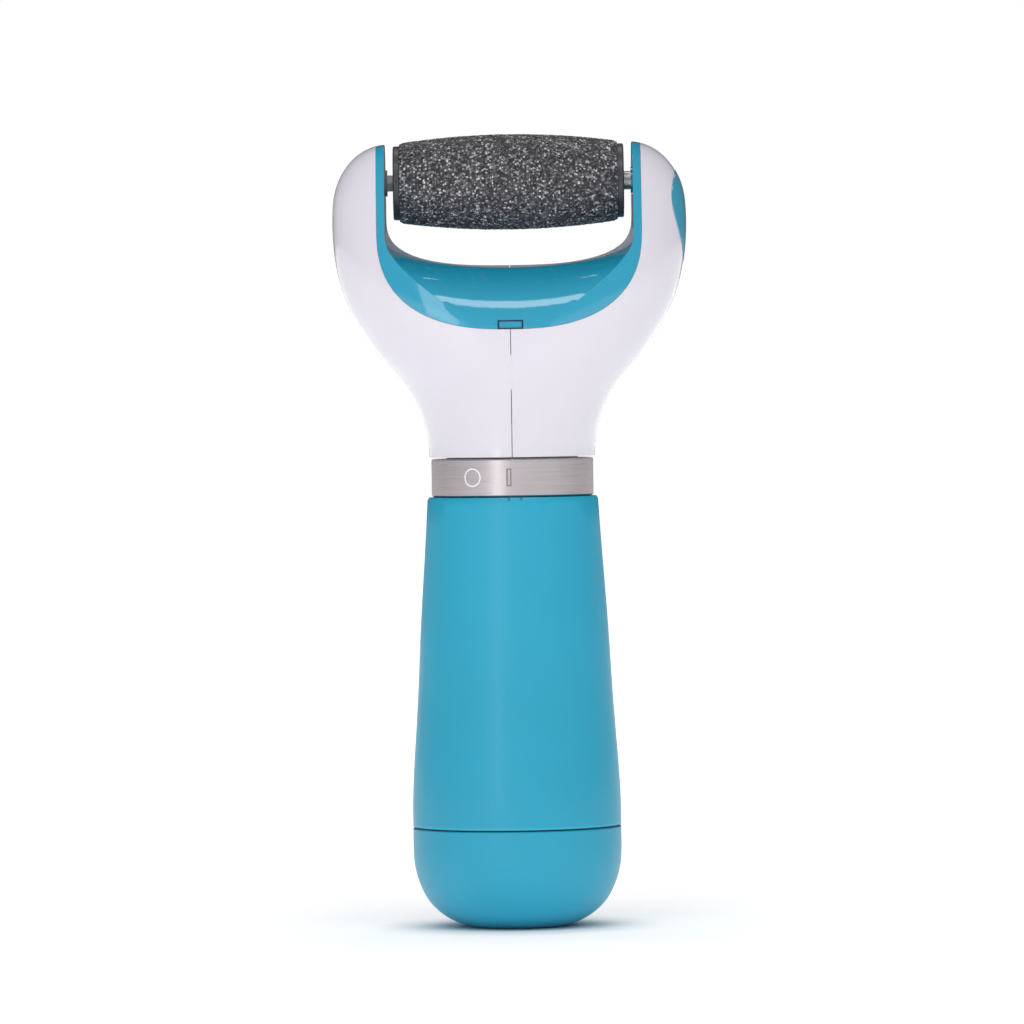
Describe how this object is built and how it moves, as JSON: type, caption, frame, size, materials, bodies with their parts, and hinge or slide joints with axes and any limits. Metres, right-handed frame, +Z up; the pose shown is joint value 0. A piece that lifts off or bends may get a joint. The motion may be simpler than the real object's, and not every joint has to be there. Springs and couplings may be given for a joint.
{
  "type": "electric callus remover",
  "caption": "Handheld battery electric foot file with a spinning abrasive roller between two arms, a turn-ring switch, a roller release button and a screw-off base cap.",
  "frame": {"origin": "centre of the flat on the underside of the base cap, where the part stands", "axes": "+Z up the handle to the roller, X along the roller's axis, -Y towards the front with the switch marks"},
  "size_m": [0.0727, 0.0428, 0.1626],
  "materials": {
    "shell_white": "gloss",
    "blue_handle": "satin",
    "blue_gloss": "high gloss",
    "blue_button": "gloss",
    "abrasive": "coarse grit",
    "black_plastic": "satin",
    "white_plastic": "satin",
    "grey_plastic": "matte",
    "gear_plastic": "satin",
    "ring_metal": "brushed",
    "mark_off": "painted inlay",
    "mark_on": "painted inlay",
    "steel": "ground",
    "motor_steel": "plated",
    "spring_steel": "nickel plated",
    "contact_metal": "plated",
    "copper": "bare",
    "board": "solder mask",
    "cell_jacket": "printed sleeve",
    "rubber_black": "matte",
    "wire_red": "insulation",
    "wire_black": "insulation"
  },
  "bodies": {
    "base": {"head_shell_left": "shell_white", "head_shell_right": "shell_white", "saddle_frame": "blue_gloss", "saddle_latch": "blue_gloss", "head_screws": "steel", "output_bearing": "blue_gloss", "gear_pins": "steel", "motor_can": "motor_steel", "motor_endcap": "white_plastic", "motor_terminals": "contact_metal", "motor_cradle": "grey_plastic", "rocker_pin": "steel", "rocker_block": "grey_plastic", "plunger_bush": "blue_gloss", "release_spring": "spring_steel", "neck_collar": "white_plastic", "switch_board": "board", "switch_pads": "copper", "detent_spring": "spring_steel", "handle_shell": "blue_handle", "cap_seal": "rubber_black", "cell_1": "cell_jacket", "cell_2": "cell_jacket", "cell_3": "cell_jacket", "cell_4": "cell_jacket", "cell_divider": "grey_plastic", "top_contacts": "contact_metal", "top_springs": "spring_steel", "motor_lead_red": "wire_red", "motor_lead_black": "wire_black"},
    "roller": {"roller_sleeve": "abrasive", "roller_core": "black_plastic", "roller_cap_left": "black_plastic", "roller_cap_right": "black_plastic", "roller_drive_stub": "white_plastic", "roller_bush": "steel", "output_gear": "grey_plastic"},
    "idler": {"idler_gear": "gear_plastic"},
    "compound": {"compound_gear": "gear_plastic"},
    "rotor": {"motor_rotor": "motor_steel", "motor_shaft": "steel", "motor_pinion": "gear_plastic"},
    "button": {"release_button": "blue_button"},
    "rocker": {"release_rocker": "grey_plastic"},
    "plunger": {"bearing_plunger": "steel"},
    "ring": {"power_ring": "ring_metal", "ring_mark_off": "mark_off", "ring_mark_on": "mark_on", "ring_carrier": "black_plastic", "ring_wiper": "spring_steel"},
    "contacts": {"contact_carrier": "grey_plastic", "cap_contacts": "contact_metal", "cap_springs": "spring_steel"},
    "cap": {"base_cap": "blue_handle"}
  },
  "joints": [
    {"name": "roller_spin", "type": "hinge", "parent": "base", "child": "roller", "pos_m": [0, 0, 0.1529], "axis": [1, 0, 0], "continuous": true},
    {"name": "idler_spin", "type": "hinge", "parent": "base", "child": "idler", "pos_m": [-0.03, 0, 0.1434], "axis": [1, 0, 0], "continuous": true},
    {"name": "compound_spin", "type": "hinge", "parent": "base", "child": "compound", "pos_m": [-0.03, 0, 0.1344], "axis": [1, 0, 0], "continuous": true},
    {"name": "motor_spin", "type": "hinge", "parent": "base", "child": "rotor", "pos_m": [-0.01, 0, 0.1249], "axis": [1, 0, 0], "continuous": true},
    {"name": "release_press", "type": "slide", "parent": "base", "child": "button", "axis": [-1, 0, 0], "range_m": [0, 0.0015], "stiffness_N_per_m": 700, "springref_m": -0.001, "deforming": ["release_spring"]},
    {"name": "rocker_turn", "type": "hinge", "parent": "base", "child": "rocker", "pos_m": [0.02945, 0, 0.1469], "axis": [0, 1, 0], "range_deg": [0, 14.6]},
    {"name": "plunger_slide", "type": "slide", "parent": "base", "child": "plunger", "axis": [1, 0, 0], "range_m": [0, 0.0015]},
    {"name": "ring_turn", "type": "hinge", "parent": "base", "child": "ring", "pos_m": [0, 0, 0.0924], "axis": [0, 0, 1], "range_deg": [0, 30], "deforming": ["detent_spring"]},
    {"name": "cap_drop", "type": "slide", "parent": "base", "child": "contacts", "axis": [0, 0, -1], "range_m": [0, 0.024]},
    {"name": "cap_turn", "type": "hinge", "parent": "contacts", "child": "cap", "pos_m": [0, 0, 0.01], "axis": [0, 0, 1], "range_deg": [-270.5, 0]}
  ],
  "couplings": [
    {"joint": "idler_spin", "follows": "roller_spin", "ratio": -0.58333},
    {"joint": "compound_spin", "follows": "roller_spin", "ratio": 1.1667},
    {"joint": "motor_spin", "follows": "roller_spin", "ratio": -3.2667},
    {"joint": "rocker_turn", "follows": "release_press", "rad_per_m": 167.09},
    {"joint": "plunger_slide", "follows": "release_press", "ratio": 1},
    {"joint": "cap_turn", "follows": "cap_drop", "rad_per_m": -196.35}
  ]
}
